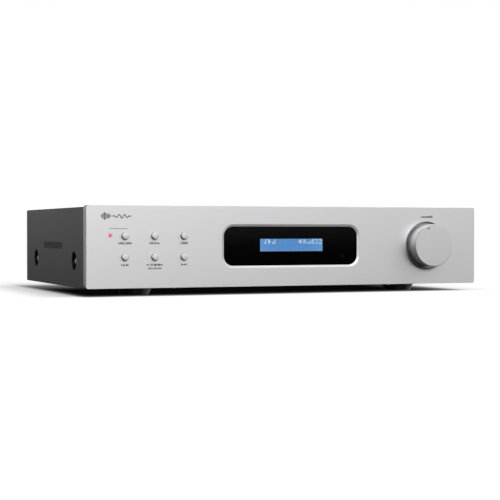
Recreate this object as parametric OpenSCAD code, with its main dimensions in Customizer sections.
// Integrated amplifier: a free-standing, full-width hi-fi component.
// The front faces -Y, +X is to the right seen from the front, +Z is up.
// The origin is on the floor, under the middle of the whole object.
// Parts are placed with (x, d, h): x from the middle, d back from the
// front face of the front panel, h up from the front panel's lower edge.
// Name endings in the Hidden section and below: _d a depth back from the front
// face, _x and _z a place, _pos a point or a list of points, _r a radius, _t a
// thickness, _w a width, _h a height. Cuts run past the faces they open.

/* [Front panel] */
// Width of the front panel
panel_w = 430; // [428:1:434]
// Height of the front panel
panel_h = 80.6; // [80:0.1:84]
// Depth of the front panel, with its fixing bosses
panel_d = 12.1; // [12.1:0.1:12.1]
// Depth of the front panel's returns, where the cover begins
return_end = 8; // [8:0.1:8]
// Thickness of the front panel's face
face_t = 3.5; // [3.5:0.1:3.5]
// Thickness of the front panel's returns
return_t = 2.5; // [2:0.1:3]
// Corner radius of the front panel, seen from the front
panel_r = 3.4; // [2.5:0.1:4]
// Rounding of the front panel's two upright front edges
edge_r = 1.5; // [0.6:0.1:2]
// Rounding of the front panel's top and bottom front edges
lip_r = 0.3; // [0.2:0.1:0.8]

/* [Display] */
// Width of the display recess at the front face
display_w = 152.2; // [148:0.1:156]
// Height of the display recess at the front face
display_h = 44; // [42:0.1:48]
// Corner radius of the display recess at the front face
display_r = 12; // [9:0.1:13]
// Sideways position of the display recess
display_x = 0.5; // [-3:0.1:3]
// Height of the middle of the display recess
display_z = 40.5; // [40:0.1:42]
// Width of the sloped border, seen from the front
slope_w = 2.3; // [2:0.1:3.2]
// Depth of the sloped border
slope_d = 1.1; // [0.8:0.1:1.2]
// Width of the lit area
lcd_w = 69.4; // [64:0.1:72]
// Height of the lit area
lcd_h = 12.6; // [12:0.1:14.5]
// Sideways position of the lit area
lcd_x = 1.5; // [-2:0.1:3]
// Height of the middle of the lit area
lcd_z = 41.4; // [40:0.1:42]

/* [Buttons] */
// Diameter of a button cap
cap_dia = 7.1; // [6.8:0.1:7.2]
// Diameter of a button hole
hole_dia = 7.4; // [7.4:0.1:8.4]
// How far a cap stands out of the front face
cap_proud = 2.75; // [1.5:0.05:3]
// Travel of a button
button_travel = 0.6; // [0.3:0.1:0.6]
// Position of the first column of buttons
column_x = -175.8; // [-177:0.1:-174]
// Distance between the columns of buttons
column_pitch = 30.2; // [29:0.1:31]
// Height of the lower row of buttons
row_z = 30.6; // [29:0.1:31]
// Distance between the rows of buttons
row_pitch = 20.5; // [19:0.1:21]
// Sideways position of the standby light
led_x = -190.7; // [-192:0.1:-189]

/* [Volume knob] */
// Diameter of the knob
knob_dia = 44.4; // [40:0.1:46]
// Diameter of the round recess behind the knob
recess_dia = 49.4; // [47.5:0.1:52]
// Depth of the round recess behind the knob
recess_depth = 3; // [2:0.1:3]
// How far the knob stands out of the front face
knob_proud = 15.6; // [14:0.1:18]
// Sideways position of the knob
knob_x = 156.2; // [153:0.1:160]
// Height of the knob's middle
knob_z = 40.7; // [38:0.1:42]
// Angle of the pointer at rest, left of the top
pointer_angle = 20; // [-120:1:120]

/* [Case] */
// Outer width of the cover
cover_w = 428.6; // [428.2:0.1:429]
// Height of the cover's top above the front panel's lower edge
cover_top = 79.1; // [79:0.1:79.5]
// Depth at which the cover ends
cover_end = 257.9; // [257.9:0.1:257.9]
// Thickness of the steel sheet
sheet = 1; // [1:0.1:1]
// Diameter of the dished screw recesses in the cover's sides
dish_dia = 18; // [15:0.5:19]
// Number of ventilation slots in each side
side_slots = 20; // [10:1:20]
// Height of the feet
foot_h = 8.5; // [8:0.1:12]
// Diameter of a foot where it meets the base
foot_dia = 36; // [30:0.5:40]

/* [Rear] */
// Radius of a banana socket
banana_r = 2; // [2:0.05:2.05]
// Radius of the shell of a phono socket
phono_r = 4.15; // [4.1:0.05:4.2]
// Distance between the columns of phono sockets
phono_pitch = 18; // [17:0.5:19]

/* [Hidden] */
$fn = 48;

// every pairing of a column with a row, row by row
function grid(columns, rows) = [for (row = rows) for (column = columns) [column, row]];

post_end = 275; // outer end of the binding posts, the rear-most point
front_y = (knob_proud - post_end) / 2;

// Stack behind the front panel's face
boss_d = face_t - 0.5; // bosses start inside the face
pad_d = 6; // back of the thick pad behind the knob
glass_d = slope_d + 0.3;
glass_t = 1.9;
mask_d = glass_d + glass_t + 0.02;
bezel_d = 3.6;
lcd_back = 7;
board_d = 8.6;
board_t = 1.6; // of the front and main boards
board_back = board_d + board_t;
flange_d = face_t + 0.05; // flange of a button
flange_t = 0.6;
guide_d = flange_d + flange_t + button_travel + 0.1;
guide_t = 1.2;
stem_end = guide_d + guide_t + 0.23;
switch_d = board_d - 1.7;

// Case
base_z = 0.4; // underside of the base
floor_z = base_z + sheet;
rear_d = cover_end - 2 * sheet; // inside of the rear panel
back_d = rear_d + sheet; // outside of the rear panel
cover_x = cover_w / 2;
dish_depth = 3.2;
wall_x = cover_x - dish_depth - sheet - 0.2; // outside of the base's side tabs
mboard_z = floor_z + 8;
mtop_z = mboard_z + board_t;

// Points in front view: x, h
display_pos = [display_x, display_z];
lcd_pos = [lcd_x, lcd_z];
knob_pos = [knob_x, knob_z];
led_pos = [led_x, row_z + row_pitch + 0.2];
sensor_pos = [60, 29];
corner_pos = grid([-206, 206], [12, 68]);
fboard_pos = grid([-192, 192], [13, 67]);
button_pos = grid([for (i = [0 : 2]) column_x + i * column_pitch], [row_z + row_pitch, row_z]);
guide_mid = [column_x + column_pitch, row_z + row_pitch / 2];
guide_pin_pos = grid([column_x - 6.5, column_x + 2 * column_pitch + 6.5],
    [guide_mid.y - 6, guide_mid.y + 6]);
inlet_pos = [-168, 31];
drawer_pos = [inlet_pos.x, 20.4];
contact_pos = [for (x = [-5, 0, 5]) [inlet_pos.x + x, 37 + (x == 0 ? 2 : -2)]];
switch_pos = [-118, 30];
post_pos = grid([12, 31, 55, 74], [28]);
phono_mid_x = 149;
phono_x = [for (i = [0 : 3]) phono_mid_x + (i - 1.5) * phono_pitch];
phono_pos = grid(phono_x, [22, 36]);
phono_screw_pos = grid([phono_mid_x - 18, phono_mid_x + 18], [29]);
rear_screw_pos = grid([-198, -40, 198], [6]);
lip_screw_pos = grid([-150, 0, 150], [72]);

// Points in plan view: x, d
foot_pos = grid([-150, 150], [54, 212]);
toroid_pos = [-137, 120];
standoff_pos = grid([-60, 67, 194], [66, 238]);
base_screw_pos = grid([-120, 120], [19.5]);

// Screws in the cover's sides
side_screw_d = [47, 211];
side_screw_z = 26;

// Screw types: shank radius, head radius, head height
small_screw = [1.2, 2.7, 1.9];
fboard_screw = [1.2, 2.7, 1.8];
sheet_screw = [1.45, 2.9, 1.6];
side_screw = [1.45, 3.1, 1.6];
foot_screw = [1.95, 4, 2.4];
toroid_screw = [3, 5.5, 3];

// Screw holes
small_pilot_r = 1.25;
pilot_r = 1.5;
clear_r = 1.6;

// Colours used more than once
steel = [0.7, 0.7, 0.7];
brass = [0.85, 0.75, 0.4];
board_green = [0.1, 0.4, 0.22];

// ---- placing ----
module at(x, d, h) translate([x, front_y + d, foot_h + h]) children();
// front view outline (x, h), between two depths
module slab(front, back) at(0, back, 0) rotate([90, 0, 0]) linear_extrude(back - front) children();
// plan view outline (x, d), between two heights
module plan(low, high) at(0, 0, low) linear_extrude(high - low) children();
// side view outline (d, h), between two values of x
module side(left, right) at(left, 0, 0) rotate([90, 0, 90]) linear_extrude(right - left) children();
// profile (radius, d) turned about an axis along Y
module turned(centre) at(centre.x, 0, centre.y) rotate([-90, 0, 0]) rotate_extrude() children();
// profile (radius, h) turned about a vertical axis
module turned_z(centre) at(centre.x, centre.y, 0) rotate_extrude() children();
// copies spaced by step, centred on the original place
module row(count, step) for (i = [0 : count - 1])
    translate((i - (count - 1) / 2) * step) children();

// ---- plane shapes ----
module rounded_rect(width, height, radius) {
    square([width - 2 * radius, height], center = true);
    square([width, height - 2 * radius], center = true);
    for (x = [-1, 1], y = [-1, 1])
        translate([x * (width / 2 - radius), y * (height / 2 - radius)]) circle(r = radius);
}
// round-ended slot, long in the outline's second direction
module slot(length, width) rotate([0, 0, 90]) {
    square([length - width, width], center = true);
    for (x = [-1, 1]) translate([x * (length - width) / 2, 0]) circle(r = width / 2);
}
module rect(x_from, y_from, x_to, y_to)
    translate([x_from, y_from]) square([x_to - x_from, y_to - y_from]);
module hexagon(radius) circle(r = radius, $fn = 6);

// ---- simple solids ----
// discs along Y at front view points
module discs(front, back, centres, radius) for (centre = centres)
    slab(front, back) translate(centre) circle(r = radius);
// upright discs at plan view points
module columns(low, high, centres, radius) for (centre = centres)
    plan(low, high) translate(centre) circle(r = radius);
// rectangular block centred on a front view point
module block(front, back, centre, size)
    slab(front, back) translate(centre) square(size, center = true);

// ---- fasteners ----
// pan head screw with a cross recess: head below z = 0, shank upwards
module pan_screw(type, length) {
    head_r = type[1];
    head_h = type[2];
    // radius, height
    head_outline = [[0, -head_h], [head_r * 0.62, -head_h], [head_r * 0.88, -head_h * 0.72],
        [head_r, -head_h * 0.3], [head_r, 0], [0, 0]];
    difference() {
        union() {
            rotate_extrude() polygon(head_outline);
            cylinder(r = type[0], h = length);
        }
        for (angle = [0, 90]) rotate([0, 0, angle + 20]) translate([0, 0, -head_h])
            cube([head_r * 1.15, head_r * 0.26, head_h * 1.1], center = true);
    }
}
// screws pointing forwards, the undersides of their heads at one depth
module forward_screws(depth, centres, type, length) for (centre = centres)
    at(centre.x, depth, centre.y) rotate([90, 0, 0]) pan_screw(type, length);

// ---- front panel ----
bushing_r = 3.5; // of the volume encoder

module panel_blank() intersection() {
    slab(0, return_end) translate([0, panel_h / 2]) rounded_rect(panel_w, panel_h, panel_r);
    // side view, the front corners rounded
    side(-panel_w / 2 - 1, panel_w / 2 + 1) union() {
        translate([lip_r, 0]) square([panel_d - lip_r, panel_h]);
        translate([0, lip_r]) square([lip_r + 1, panel_h - 2 * lip_r]);
        for (y = [lip_r, panel_h - lip_r]) translate([lip_r, y]) circle(r = lip_r);
    }
    // plan view, the front corners rounded
    plan(-1, panel_h + 1) translate([-panel_w / 2, 0]) union() {
        translate([0, edge_r]) square([panel_w, panel_d - edge_r]);
        translate([edge_r, 0]) square([panel_w - 2 * edge_r, edge_r + 1]);
        for (x = [edge_r, panel_w - edge_r]) translate([x, edge_r]) circle(r = edge_r);
    }
}
// sloped opening, widest in front of the face and narrowest at slope_d
module display_slope() {
    lead = 0.5; // starts this far in front of the face
    corner_x = display_w / 2 - display_r;
    corner_z = display_h / 2 - display_r;
    wide_r = display_r + slope_w / slope_d * lead;
    narrow_r = display_r - slope_w;
    for (x = [-corner_x, corner_x], z = [-corner_z, corner_z])
        at(display_x + x, -lead, display_z + z) rotate([-90, 0, 0])
            cylinder(r1 = wide_r, r2 = narrow_r, h = slope_d + lead);
    side(display_x - corner_x, display_x + corner_x) polygon([
        [-lead, display_z - corner_z - wide_r], [-lead, display_z + corner_z + wide_r],
        [slope_d, display_z + corner_z + narrow_r], [slope_d, display_z - corner_z - narrow_r]]);
    plan(display_z - corner_z, display_z + corner_z) polygon([
        [display_x - corner_x - wide_r, -lead], [display_x + corner_x + wide_r, -lead],
        [display_x + corner_x + narrow_r, slope_d], [display_x - corner_x - narrow_r, slope_d]]);
}
// the opening inside the sloped border, grown all round
module display_shape(front, back, grow) slab(front, back) translate(display_pos)
    rounded_rect(display_w - 2 * slope_w + 2 * grow, display_h - 2 * slope_w + 2 * grow,
        display_r - slope_w + grow);
module knob_recess() {
    recess_r = recess_dia / 2;
    // radius, depth
    turned(knob_pos) polygon([[0, -1], [recess_r + 1.3, -1], [recess_r, 0.3],
        [recess_r, recess_depth], [0, recess_depth]]);
}
module front_panel() color([0.82, 0.82, 0.83]) difference() {
    union() {
        difference() {
            panel_blank();
            slab(face_t, panel_d + 1) translate([0, panel_h / 2])
                rounded_rect(panel_w - 2 * return_t, panel_h - 2 * return_t, 1);
        }
        discs(boss_d, pad_d, [knob_pos], 28);
        discs(boss_d, panel_d, corner_pos, 3.5);
        discs(boss_d, board_d, fboard_pos, 3);
        discs(boss_d, guide_d, guide_pin_pos, 1.8);
    }
    display_slope();
    display_shape(slope_d - 0.1, glass_d + 0.1, 0);
    display_shape(glass_d, pad_d, 3.2);
    discs(-1, face_t + 1, button_pos, hole_dia / 2);
    discs(-1, face_t + 1, [led_pos], 1.6);
    knob_recess();
    discs(-1, pad_d + 1, [knob_pos], bushing_r + 0.1);
    discs(5, panel_d + 1, corner_pos, small_pilot_r);
    discs(5, board_d + 1, fboard_pos, small_pilot_r);
}

// ---- display ----
bezel_size = [79, 25];

module display_window() color([0.08, 0.08, 0.09, 0.6])
    display_shape(glass_d, glass_d + glass_t, 3);
module window_mask() color([0.02, 0.02, 0.02]) difference() {
    display_shape(mask_d, mask_d + 0.13, 2.8);
    block(mask_d - 1, mask_d + 1, lcd_pos, [lcd_w, lcd_h]);
    discs(mask_d - 1, mask_d + 1, [sensor_pos], 2.4);
}
module lcd_bezel() color([0.1, 0.1, 0.1]) difference() {
    block(bezel_d, lcd_back, lcd_pos, bezel_size);
    block(bezel_d - 1, lcd_back, lcd_pos, [lcd_w + 1.2, lcd_h + 1.4]);
    block(bezel_d + 0.5, lcd_back + 1, lcd_pos, bezel_size - [1.4, 1.4]);
}
module lcd_glass() color([0.36, 0.57, 0.78])
    block(bezel_d + 0.55, lcd_back - 0.3, lcd_pos, bezel_size - [1.8, 1.8]);
module lcd_board() color([0.1, 0.35, 0.2]) difference() {
    block(lcd_back, board_d, lcd_pos, [98, 36]);
    for (offset_pos = grid([-46.5, 46.5], [-15.5, 15.5]))
        discs(lcd_back - 1, board_d + 1, [lcd_pos + offset_pos], 1.3);
}

// ---- buttons ----
stem_r = 2;
plunger_r = 1.7;

module button_guide() color([0.9, 0.9, 0.88]) difference() {
    union() {
        slab(guide_d, guide_d + guide_t) translate(guide_mid)
            rounded_rect(2 * column_pitch + 18, row_pitch + 13, 3);
        discs(guide_d + 0.5, board_d, guide_pin_pos, 1.8);
    }
    discs(guide_d - 1, guide_d + guide_t + 1, button_pos, stem_r + 0.05);
}
module button(index) color([0.84, 0.84, 0.85]) {
    centre = button_pos[index];
    cap_r = cap_dia / 2;
    dome_r = 30;
    // cap, flange and stem: radius, depth; starts just in front of the dome
    outline = [
        [0, -cap_proud - 0.016], [cap_r - 1.3, -cap_proud - 0.016],
        [cap_r - 0.5, -cap_proud + 0.25], [cap_r - 0.22, -cap_proud + 0.45],
        [cap_r - 0.06, -cap_proud + 0.72], [cap_r, -cap_proud + 1.05],
        [cap_r, flange_d], [cap_r + 1.1, flange_d],
        [cap_r + 1.1, flange_d + flange_t], [stem_r, flange_d + flange_t],
        [stem_r, stem_end], [0, stem_end]];
    // a slightly domed cap with a well rounded edge
    intersection() {
        turned(centre) polygon(outline);
        at(centre.x, dome_r - cap_proud, centre.y) sphere(r = dome_r, $fn = 160);
    }
    // the plunger of the push switch under the cap
    discs(stem_end + 0.02, switch_d + 0.6, [centre], plunger_r);
}
module tact_switches() color([0.12, 0.12, 0.13]) for (centre = button_pos) difference() {
    block(switch_d, board_d, centre, [6, 6]);
    discs(switch_d - 1, switch_d + 1.3, [centre], plunger_r + 0.05);
}
module standby_button() button(0);
module source_button() button(1);
module menu_button() button(2);
module previous_button() button(3);
module play_button() button(4);
module next_button() button(5);

// ---- front board ----
module front_board() color(board_green) difference() {
    block(board_d, board_back, [0, 40], [400, 62]);
    block(board_d - 1, board_back + 1, knob_pos, [14, 14]);
    discs(board_d - 1, board_back + 1, fboard_pos, clear_r);
}
module standby_led() color([0.9, 0.1, 0.12]) {
    // radius, depth
    turned(led_pos) polygon([[0, -0.55], [0.7, -0.45], [1.2, -0.12], [1.5, 0.5],
        [1.5, 5.4], [1.9, 5.4], [1.9, 6.3], [0, 6.3]]);
    for (x = [-0.9, 0.9]) block(6.25, board_d, led_pos + [x, 0], [0.5, 0.5]);
}
module ir_receiver() color([0.08, 0.05, 0.06]) union() {
    block(5.2, board_d, sensor_pos, [6, 7]);
    // lens: radius, depth
    turned(sensor_pos) polygon([[0, 3.75], [1.2, 3.95], [2, 4.5], [2.3, 5.2],
        [2.3, 5.6], [0, 5.6]]);
}

// ---- volume control ----
shaft_r = 3;
knob_r = knob_dia / 2;
knob_wall_d = 4.6 - knob_proud; // back of the knob's front wall
knob_bore_r = knob_r - 3.2;
insert_d = knob_wall_d + 0.05;
insert_r = knob_bore_r - 0.1;

module encoder_body() color([0.6, 0.6, 0.62]) difference() {
    union() {
        block(pad_d + 0.05, 11.95, knob_pos, [12, 12]);
        discs(0.5, pad_d + 0.5, [knob_pos], bushing_r);
    }
    discs(-1, 11, [knob_pos], shaft_r + 0.05);
}
module encoder_nut() color(steel) difference() {
    slab(recess_depth - 2.1, recess_depth - 0.02) translate(knob_pos) hexagon(5.7);
    discs(recess_depth - 3, recess_depth + 1, [knob_pos], bushing_r + 0.05);
}
// what the flat removes from the shaft
module shaft_flat(front, back, gap)
    slab(front, back) translate(knob_pos + [-5, 1.5 + gap]) square([10, 5]);
module encoder_shaft() color([0.75, 0.75, 0.77]) difference() {
    discs(5.8 - knob_proud, 10.9, [knob_pos], shaft_r);
    shaft_flat(4.8 - knob_proud, -2, 0);
}
module knob_insert() color([0.15, 0.15, 0.15]) difference() {
    // outer skirt and hub: radius, depth
    turned(knob_pos) polygon([[0, insert_d], [insert_r, insert_d], [insert_r, -1.5],
        [insert_r - 1.9, -1.5], [insert_r - 1.9, insert_d + 3], [7, insert_d + 3],
        [7, 0.2], [0, 0.2]]);
    // D-shaped bore
    difference() {
        discs(insert_d + 0.9, 1, [knob_pos], shaft_r + 0.04);
        shaft_flat(insert_d + 0.5, -2.04, 0.04);
    }
}
// triangle pointing outwards near the knob's edge
module pointer_shape(gap) rotate([0, 0, pointer_angle]) translate([0, knob_r - 3.4])
    polygon([[-1.8 - gap, -0.8 - gap * 0.7], [1.8 + gap, -0.8 - gap * 0.7], [0, 0.8 + gap]]);
module volume_knob() color([0.76, 0.76, 0.77]) difference() {
    // radius, depth
    turned(knob_pos) polygon([[0, -knob_proud], [knob_r - 0.7, -knob_proud],
        [knob_r, -knob_proud + 0.7], [knob_r, 0.9], [knob_r - 0.3, 1.2],
        [knob_bore_r, 1.2], [knob_bore_r, knob_wall_d], [0, knob_wall_d]]);
    slab(-knob_proud - 1, -knob_proud + 0.4) translate(knob_pos) pointer_shape(0.03);
}
module knob_pointer() color([0.15, 0.15, 0.16])
    slab(-knob_proud + 0.03, -knob_proud + 0.38) translate(knob_pos) pointer_shape(0);

// ---- case ----
sub_low = 1.5;
sub_high = 77.5;
foot_bore_r = 2.1;
foot_recess_z = -3; // where the foot screw's head seats

module front_subpanel() color([0.7, 0.7, 0.68]) difference() {
    union() {
        slab(panel_d, panel_d + sheet) rect(-212, sub_low, 212, sub_high);
        plan(sub_low, sub_low + sheet) rect(-200, panel_d, 200, 26);
        plan(sub_high - sheet, sub_high) rect(-205, panel_d, 205, 22);
    }
    discs(panel_d - 1, panel_d + 2, corner_pos, clear_r);
    // opening for the ribbon cable
    slab(panel_d - 1, panel_d + 2) translate([40, 34]) rounded_rect(50, 24, 3);
    for (x = [-100, 120])
        slab(panel_d - 1, panel_d + 2) translate([x, 40]) rounded_rect(50, 40, 6);
    columns(1, 3, base_screw_pos, pilot_r);
}
module chassis_base() color([0.62, 0.62, 0.6]) {
    edge_d = rear_d - 0.05;
    difference() {
        union() {
            plan(base_z, floor_z) rect(-212.8, return_end + 0.1, 212.8, edge_d);
            // side walls with a raised tab at each cover screw
            for (x = [-wall_x, wall_x - sheet]) side(x, x + sheet) union() {
                rect(30, base_z, 250, 14);
                for (d = side_screw_d) rect(d - 11, base_z, d + 11, 36);
            }
            slab(edge_d - sheet, edge_d) rect(-205, base_z, 205, 11);
            columns(base_z, floor_z + 2, foot_pos, 3.6);
        }
        for (x = [-wall_x, wall_x], d = side_screw_d)
            side(x - 2, x + 2) translate([d, side_screw_z]) circle(r = pilot_r);
        columns(base_z - 1, floor_z + 3, foot_pos, 2);
        columns(base_z - 1, floor_z + 1, [toroid_pos], 3.2);
        columns(base_z - 1, floor_z + 1, base_screw_pos, pilot_r);
        discs(rear_d - 3, rear_d + 1, rear_screw_pos, pilot_r);
        for (d = [105, 165]) row(14, [12, 0, 0])
            plan(base_z - 1, floor_z + 1) translate([64, d]) slot(40, 4);
    }
}
module cover_section(half_w, top, radius) {
    rect(-half_w, -0.001, half_w, top - radius);
    rect(-half_w + radius, 0, half_w - radius, top);
    for (sign = [-1, 1])
        translate([sign * (half_w - radius), top - radius]) circle(r = radius);
}
// children at the four side screws, their z axis pointing inwards from `inset`
module at_side_screws(inset) for (flip = [0, 1], d = side_screw_d)
    mirror([flip, 0, 0]) at(-cover_x + inset, d, side_screw_z) rotate([0, 90, 0]) children();
module top_slots(count, middle) row(count, [8, 0, 0])
    plan(cover_top - 3, cover_top + 3) translate(middle) slot(70, 3);
module top_cover() color([0.27, 0.265, 0.27]) {
    dish_r = dish_dia / 2;
    // radius, distance inwards
    dish_outline = [[0, -0.5], [dish_r + 0.5, -0.5], [dish_r + 0.4, 0], [dish_r - 0.1, 0.3],
        [dish_r - 1.5, dish_depth - 0.4], [dish_r - 2, dish_depth], [0, dish_depth]];
    difference() {
        union() {
            slab(return_end + 0.1, cover_end) difference() {
                cover_section(cover_x, cover_top, 1.6);
                translate([0, -1]) cover_section(cover_x - sheet, cover_top - sheet + 1, 0.6);
            }
            slab(cover_end - sheet, cover_end) rect(-211.5, 67.5, 211.5, cover_top - 0.5);
            // outside of the drawn dishes
            at_side_screws(0.5)
                cylinder(r1 = dish_r + 0.7, r2 = dish_r - 0.9, h = dish_depth + 0.5);
        }
        at_side_screws(0) {
            rotate_extrude() polygon(dish_outline);
            cylinder(r = clear_r, h = 10);
        }
        row(side_slots, [0, 4, 0])
            side(-cover_x - 5, cover_x + 5) translate([133.75, 40.6]) slot(7.2, 2.4);
        top_slots(15, toroid_pos + [0, 10]);
        top_slots(19, [55, toroid_pos.y + 35]);
        discs(cover_end - 3, cover_end + 1, lip_screw_pos, clear_r);
    }
}
module rear_cut() slab(rear_d - 1, rear_d + 2) children();
module rear_holes(centres, radius) for (centre = centres)
    rear_cut() translate(centre) circle(r = radius);
module rear_panel() color([0.2, 0.2, 0.2]) difference() {
    slab(rear_d, back_d) rect(-212.8, base_z, 212.8, 77.6);
    rear_holes(lip_screw_pos, pilot_r);
    rear_holes(rear_screw_pos, clear_r);
    rear_holes(phono_screw_pos, clear_r);
    rear_holes(phono_pos, 5.2);
    rear_holes(post_pos, 5);
    rear_cut() translate(inlet_pos) square([28, 33], center = true);
    rear_cut() translate(switch_pos) square([13.8, 20], center = true);
    row(12, [5, 0, 0]) rear_cut() translate([-38.5, 58]) slot(16, 2);
}
module feet() color([0.05, 0.05, 0.05]) {
    foot_r = foot_dia / 2;
    // radius, height
    outline = [
        [4.6, -foot_h], [foot_r - 4.3, -foot_h], [foot_r - 3.6, -foot_h + 0.25],
        [foot_r - 3.3, -foot_h + 0.9], [foot_r - 0.35, base_z - 1.3], [foot_r, base_z - 0.8],
        [foot_r, base_z], [foot_bore_r, base_z],
        [foot_bore_r, foot_recess_z], [4.6, foot_recess_z]];
    for (centre = foot_pos) turned_z(centre) polygon(outline);
}
module foot_screws() color([0.6, 0.6, 0.6]) for (centre = foot_pos)
    at(centre.x, centre.y, foot_recess_z) pan_screw(foot_screw, 6.2);
module cover_screws() color([0.75, 0.75, 0.75]) {
    at_side_screws(dish_depth) pan_screw(side_screw, 7);
    forward_screws(cover_end, lip_screw_pos, sheet_screw, 6);
}
module panel_screws() color(steel) {
    forward_screws(panel_d + sheet, corner_pos, small_screw, 7);
    forward_screws(back_d, rear_screw_pos, sheet_screw, 6);
    forward_screws(back_d, phono_screw_pos, sheet_screw, 7);
    for (centre = base_screw_pos) at(centre.x, centre.y, base_z) pan_screw(sheet_screw, 4.5);
}

// ---- power supply ----
pad_t = 1.5;
top_pad_z = floor_z + 45.5;
clamp_z = top_pad_z + pad_t; // underside of the clamping dish
clamp_top_z = clamp_z + 3;

module transformer_coil() color([0.75, 0.6, 0.2])
    turned_z(toroid_pos) translate([38, floor_z + 23.55]) rounded_rect(34, 43.8, 9);
module transformer_pads() color([0.1, 0.1, 0.1]) for (z = [floor_z, top_pad_z]) difference() {
    columns(z, z + pad_t, [toroid_pos], 52);
    columns(z - 1, z + 3, [toroid_pos], 12);
}
module transformer_dish() color([0.7, 0.7, 0.65]) difference() {
    union() {
        columns(clamp_z, clamp_z + 1.5, [toroid_pos], 48);
        columns(clamp_z, clamp_top_z, [toroid_pos], 14);
    }
    columns(floor_z + 40, floor_z + 60, [toroid_pos], 3.2);
    for (angle = [0 : 60 : 300]) at(toroid_pos.x, toroid_pos.y, floor_z + 40)
        rotate([0, 0, angle]) translate([31, 0, 0]) cylinder(r = 6, h = 20);
}
module transformer_bolt() color(steel) {
    at(toroid_pos.x, toroid_pos.y, base_z) pan_screw(toroid_screw, 58);
    difference() {
        plan(clamp_top_z + 0.02, clamp_top_z + 4.5) translate(toroid_pos) hexagon(5.8);
        columns(clamp_top_z - 1, clamp_top_z + 6, [toroid_pos], 3.05);
    }
}
// mains socket outline with two cut upper corners, grown all round
module socket_outline(grow) polygon([
    [-12 - grow, -8 - grow], [12 + grow, -8 - grow],
    [12 + grow, 4.5 + grow * 0.4], [8 + grow * 0.4, 8 + grow],
    [-8 - grow * 0.4, 8 + grow], [-12 - grow, 4.5 + grow * 0.4]]);
module mains_inlet() color([0.05, 0.05, 0.05]) {
    difference() {
        union() {
            slab(back_d, back_d + 2) translate(inlet_pos) rounded_rect(32, 37, 2);
            block(236, back_d + 0.5, inlet_pos, [27.6, 32.6]);
        }
        slab(242, rear_d + 5) translate([inlet_pos.x, 37]) difference() {
            socket_outline(0.25);
            socket_outline(-1.6);
        }
        for (centre = contact_pos) block(240, rear_d + 5, centre, [1.9, 4.4]);
        block(238, rear_d + 5, drawer_pos, [24.2, 8.6]);
    }
    // contact blades
    for (centre = contact_pos) block(230, 254, centre, [1.8, 4.2]);
}
module fuse_drawer() color([0.07, 0.07, 0.07]) difference() {
    union() {
        block(238.6, back_d + 2.02, drawer_pos, [24, 8.4]);
        slab(back_d + 2.02, back_d + 3.2) translate(drawer_pos) rounded_rect(26, 9.4, 1);
    }
    // hollow, open at the top
    block(240, 254, drawer_pos, [21, 6]);
    block(240, 254, [drawer_pos.x, 25], [21, 6]);
    // notch in the lower edge of the outer plate
    block(back_d + 2.6, rear_d + 8, [drawer_pos.x, 16.4], [10, 1.6]);
}

// ---- power switch ----
pivot_d = rear_d + 0.1;
pivot_r = 1.5;
rocker_tilt = 8;
// side view of the rocker: depth and height from its pivot
rocker_outline = [
    [-4, -4.5], [-1, -7.6], [3.4, -8.3], [4.1, -8.1], [3.3, -4], [2.5, 0],
    [3.3, 4], [4.1, 8.1], [3.4, 8.3], [-1, 7.6], [-4, 4.5]];

module power_switch_body() color([0.06, 0.06, 0.06]) difference() {
    union() {
        slab(back_d, back_d + 2) translate(switch_pos) rounded_rect(16, 22.4, 1.2);
        block(240, back_d + 0.5, switch_pos, [13.5, 19.6]);
        for (z = [-6, 0, 6]) block(232, 241, switch_pos + [0, z], [0.8, 4.8]);
    }
    block(246, rear_d + 5, switch_pos, [11.5, 18]);
    side(switch_pos.x - 10, switch_pos.x + 10)
        translate([pivot_d, switch_pos.y]) circle(r = pivot_r + 0.05);
}
// the rocker tilts about its pivot, so the pivot is moved to the origin first
module power_rocker() color([0.08, 0.08, 0.08])
    at(0, pivot_d, switch_pos.y) rotate([rocker_tilt, 0, 0])
    translate([0, -front_y - pivot_d, -foot_h - switch_pos.y]) union() {
        side(switch_pos.x - 5.5, switch_pos.x + 5.5)
            translate([pivot_d, switch_pos.y]) polygon(rocker_outline);
        side(switch_pos.x - 6.4, switch_pos.x + 6.4)
            translate([pivot_d, switch_pos.y]) circle(r = pivot_r);
    }

// ---- electronics ----
fin_pitch = 8.45;
fin_t = 1.7;
heatsink_x = -5;
transistor_pitch = 28;
// x, d, radius, height
capacitors = [[-38, 96, 12.5, 40], [-38, 126, 12.5, 40], [-42, 152, 8, 28], [-42, 172, 8, 28]];

module main_board() color(board_green) difference() {
    plan(mboard_z, mtop_z) rect(-66, 60, 200, 250);
    columns(mboard_z - 1, mtop_z + 1, standoff_pos, clear_r);
}
module board_standoffs() color([0.8, 0.7, 0.4]) for (centre = standoff_pos) difference() {
    plan(floor_z, mboard_z) translate(centre) hexagon(3.2);
    columns(floor_z + 1, mboard_z + 1, [centre], small_pilot_r);
}
module board_screws() color(steel) {
    for (centre = standoff_pos)
        at(centre.x, centre.y, mtop_z) rotate([180, 0, 0]) pan_screw(small_screw, 6);
    forward_screws(board_back, fboard_pos, fboard_screw, 4.6);
}
module heatsink() color([0.3, 0.3, 0.31]) plan(mtop_z + 0.02, 58) {
    rect(heatsink_x, 150, 115, 155);
    for (i = [0 : 14]) {
        x = heatsink_x + i * fin_pitch;
        rect(x, 154, x + fin_t, 182);
    }
}
module output_transistors() color([0.1, 0.1, 0.1]) for (i = [0 : 3]) union() {
    x = 7 + i * transistor_pitch;
    plan(28, 44) rect(x, 145.4, x + 15, 149.95);
    for (leg_x = [2.5, 6.9, 11.3]) plan(mtop_z, 29) rect(x + leg_x, 147, x + leg_x + 1.2, 148);
}
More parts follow.
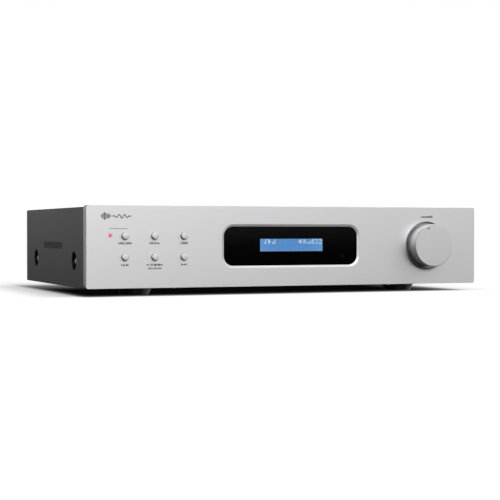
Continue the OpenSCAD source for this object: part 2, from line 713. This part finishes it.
module filter_capacitors() color([0.12, 0.14, 0.3]) for (capacitor = capacitors) {
    can_r = capacitor[2];
    top_z = mtop_z + capacitor[3];
    // groove near the foot, sunken top: radius, height
    turned_z(capacitor) polygon([
        [0, mtop_z], [can_r - 0.6, mtop_z], [can_r, mtop_z + 0.6], [can_r, mtop_z + 3],
        [can_r - 0.6, mtop_z + 3.6], [can_r, mtop_z + 4.2], [can_r, top_z - 0.8],
        [can_r - 0.8, top_z], [can_r - 2, top_z], [can_r - 2.3, top_z - 0.4], [0, top_z - 0.4]]);
}
module speaker_relay() color([0.1, 0.2, 0.5]) for (x = [22, 58])
    plan(mtop_z, mtop_z + 16) translate([x, 212]) rounded_rect(28, 13, 0.8);
module phono_block() color([0.07, 0.07, 0.07]) {
    difference() {
        slab(242, rear_d) rect(phono_mid_x - 36, mtop_z, phono_mid_x + 36, 44);
        discs(248, rear_d + 1, phono_pos, 4.65);
        discs(244, rear_d + 1, phono_screw_pos, pilot_r);
    }
    // insulators around the centre contacts
    for (centre = phono_pos) difference() {
        discs(247.5, 265.5, [centre], 3.3);
        discs(252, 266, [centre], 1.65);
    }
}
module phono_sleeves() color([0.8, 0.8, 0.8]) for (centre = phono_pos)
    // radius, depth
    turned(centre) polygon([[3.4, 248.05], [4.6, 248.05], [4.6, back_d + 0.1],
        [phono_r, back_d + 0.1], [phono_r, 266.4], [3.4, 266.4]]);

// ---- wiring ----
ribbon_d = 10.25; // where the ribbon leaves the front board
ribbon_steps = 24;
// lower face of the ribbon in side view: depth, height
ribbon_path = [for (i = [0 : ribbon_steps]) let (part = i / ribbon_steps)
    [ribbon_d + part * 58,
     30 - 7.5 * (1 - cos(180 * part)) + 6 * sin(180 * part) * (1 - part)]];

module ribbon_cable() color([0.6, 0.6, 0.62]) side(28, 54) union() {
    polygon(concat(ribbon_path,
        [for (i = [ribbon_steps : -1 : 0]) ribbon_path[i] + [0, 1]]));
    // connectors at the front board and the main board
    rect(ribbon_d, 28, 15.5, 34);
    rect(65, mtop_z + 0.02, 71, mtop_z + 6);
}
// quarter turn of round wire about the local origin
module wire_bend(bend_r, wire_r)
    rotate_extrude(angle = 90) translate([bend_r, 0]) circle(r = wire_r);
// from an inlet blade down and forwards to the transformer
module mains_wire(start) {
    wire_r = 1.2;
    bend_r = 8;
    upper_d = 218; // the upper bend begins here
    drop_d = upper_d - bend_r;
    lower_d = drop_d - bend_r;
    low_z = 8;
    discs(upper_d, 229.9, [start], wire_r);
    at(start.x, upper_d, start.y - bend_r) rotate([90, 0, 90]) rotate([0, 0, 90])
        wire_bend(bend_r, wire_r);
    columns(low_z + bend_r, start.y - bend_r, [[start.x, drop_d]], wire_r);
    at(start.x, lower_d, low_z + bend_r) rotate([90, 0, 90]) rotate([0, 0, -90])
        wire_bend(bend_r, wire_r);
    discs(180, lower_d, [[start.x, low_z]], wire_r);
}
// from the transformer sideways and down to the main board
module board_wire(d) {
    wire_r = 1;
    bend_r = 5;
    bend_x = -70;
    high_z = 22;
    side(-80, bend_x) translate([d, high_z]) circle(r = wire_r);
    at(bend_x, d, high_z - bend_r) rotate([90, 0, 0]) wire_bend(bend_r, wire_r);
    columns(mtop_z + 0.02, high_z - bend_r, [[bend_x + bend_r, d]], wire_r);
}
module power_wires() color([0.5, 0.1, 0.1]) {
    for (start = contact_pos) mains_wire(start);
    for (i = [0 : 3]) board_wire(108 + i * 6);
}

// ---- binding posts ----
// outlines: radius, depth
shaft_outline = [[0, 240], [1.6, 240], [1.6, 247], [3, 247], [3, 274.5], [0, 274.5]];
base_outline = [
    [3.05, rear_d - 3], [7, rear_d - 3], [7, rear_d], [4.9, rear_d], [4.9, back_d],
    [7, back_d], [7, back_d + 2.6], [6.6, back_d + 3], [3.05, back_d + 3]];
washer_outline = [[3.2, 259.95], [6.2, 259.95], [6.2, 260.95], [3.2, 260.95]];
nut_outline = [
    [3.05, 261], [6.2, 261], [6.7, 261.5], [6.7, post_end - 1.2],
    [6, post_end - 0.4], [5, post_end], [3.05, post_end]];

module post_shafts() color(brass) for (centre = post_pos) difference() {
    union() {
        turned(centre) polygon(shaft_outline);
        slab(249.5, rear_d - 3.05) translate(centre) hexagon(5.2);
    }
    discs(258.5, 275, [centre], banana_r);
}
module post_bases() color([0.1, 0.1, 0.1]) for (centre = post_pos)
    turned(centre) polygon(base_outline);
module post_washer(index) color(brass) turned(post_pos[index]) polygon(washer_outline);
// black and red nuts in turn, with grip grooves around them
module post_nut(index) color(index % 2 == 0 ? [0.1, 0.1, 0.1] : [0.7, 0.08, 0.08])
    difference() {
        turned(post_pos[index]) polygon(nut_outline);
        for (angle = [0 : 30 : 330]) at(post_pos[index].x, 262.5, post_pos[index].y)
            rotate([-90, 0, 0]) rotate([0, 0, angle]) translate([7.3, 0, 0])
            cylinder(r = 1.2, h = 20);
    }
module post_washer_1() post_washer(0);
module post_washer_2() post_washer(1);
module post_washer_3() post_washer(2);
module post_washer_4() post_washer(3);
module post_nut_1() post_nut(0);
module post_nut_2() post_nut(1);
module post_nut_3() post_nut(2);
module post_nut_4() post_nut(3);

front_panel();
front_subpanel();
display_window();
window_mask();
lcd_bezel();
lcd_glass();
lcd_board();
button_guide();
front_board();
tact_switches();
standby_led();
ir_receiver();
encoder_body();
encoder_nut();
standby_button();
source_button();
menu_button();
previous_button();
play_button();
next_button();
volume_knob();
knob_insert();
knob_pointer();
encoder_shaft();
chassis_base();
top_cover();
rear_panel();
feet();
foot_screws();
cover_screws();
panel_screws();
board_standoffs();
board_screws();
transformer_coil();
transformer_dish();
transformer_pads();
transformer_bolt();
mains_inlet();
fuse_drawer();
power_switch_body();
power_rocker();
main_board();
heatsink();
output_transistors();
filter_capacitors();
speaker_relay();
phono_block();
phono_sleeves();
ribbon_cable();
power_wires();
post_shafts();
post_bases();
post_washer_1();
post_washer_2();
post_washer_3();
post_washer_4();
post_nut_1();
post_nut_2();
post_nut_3();
post_nut_4();
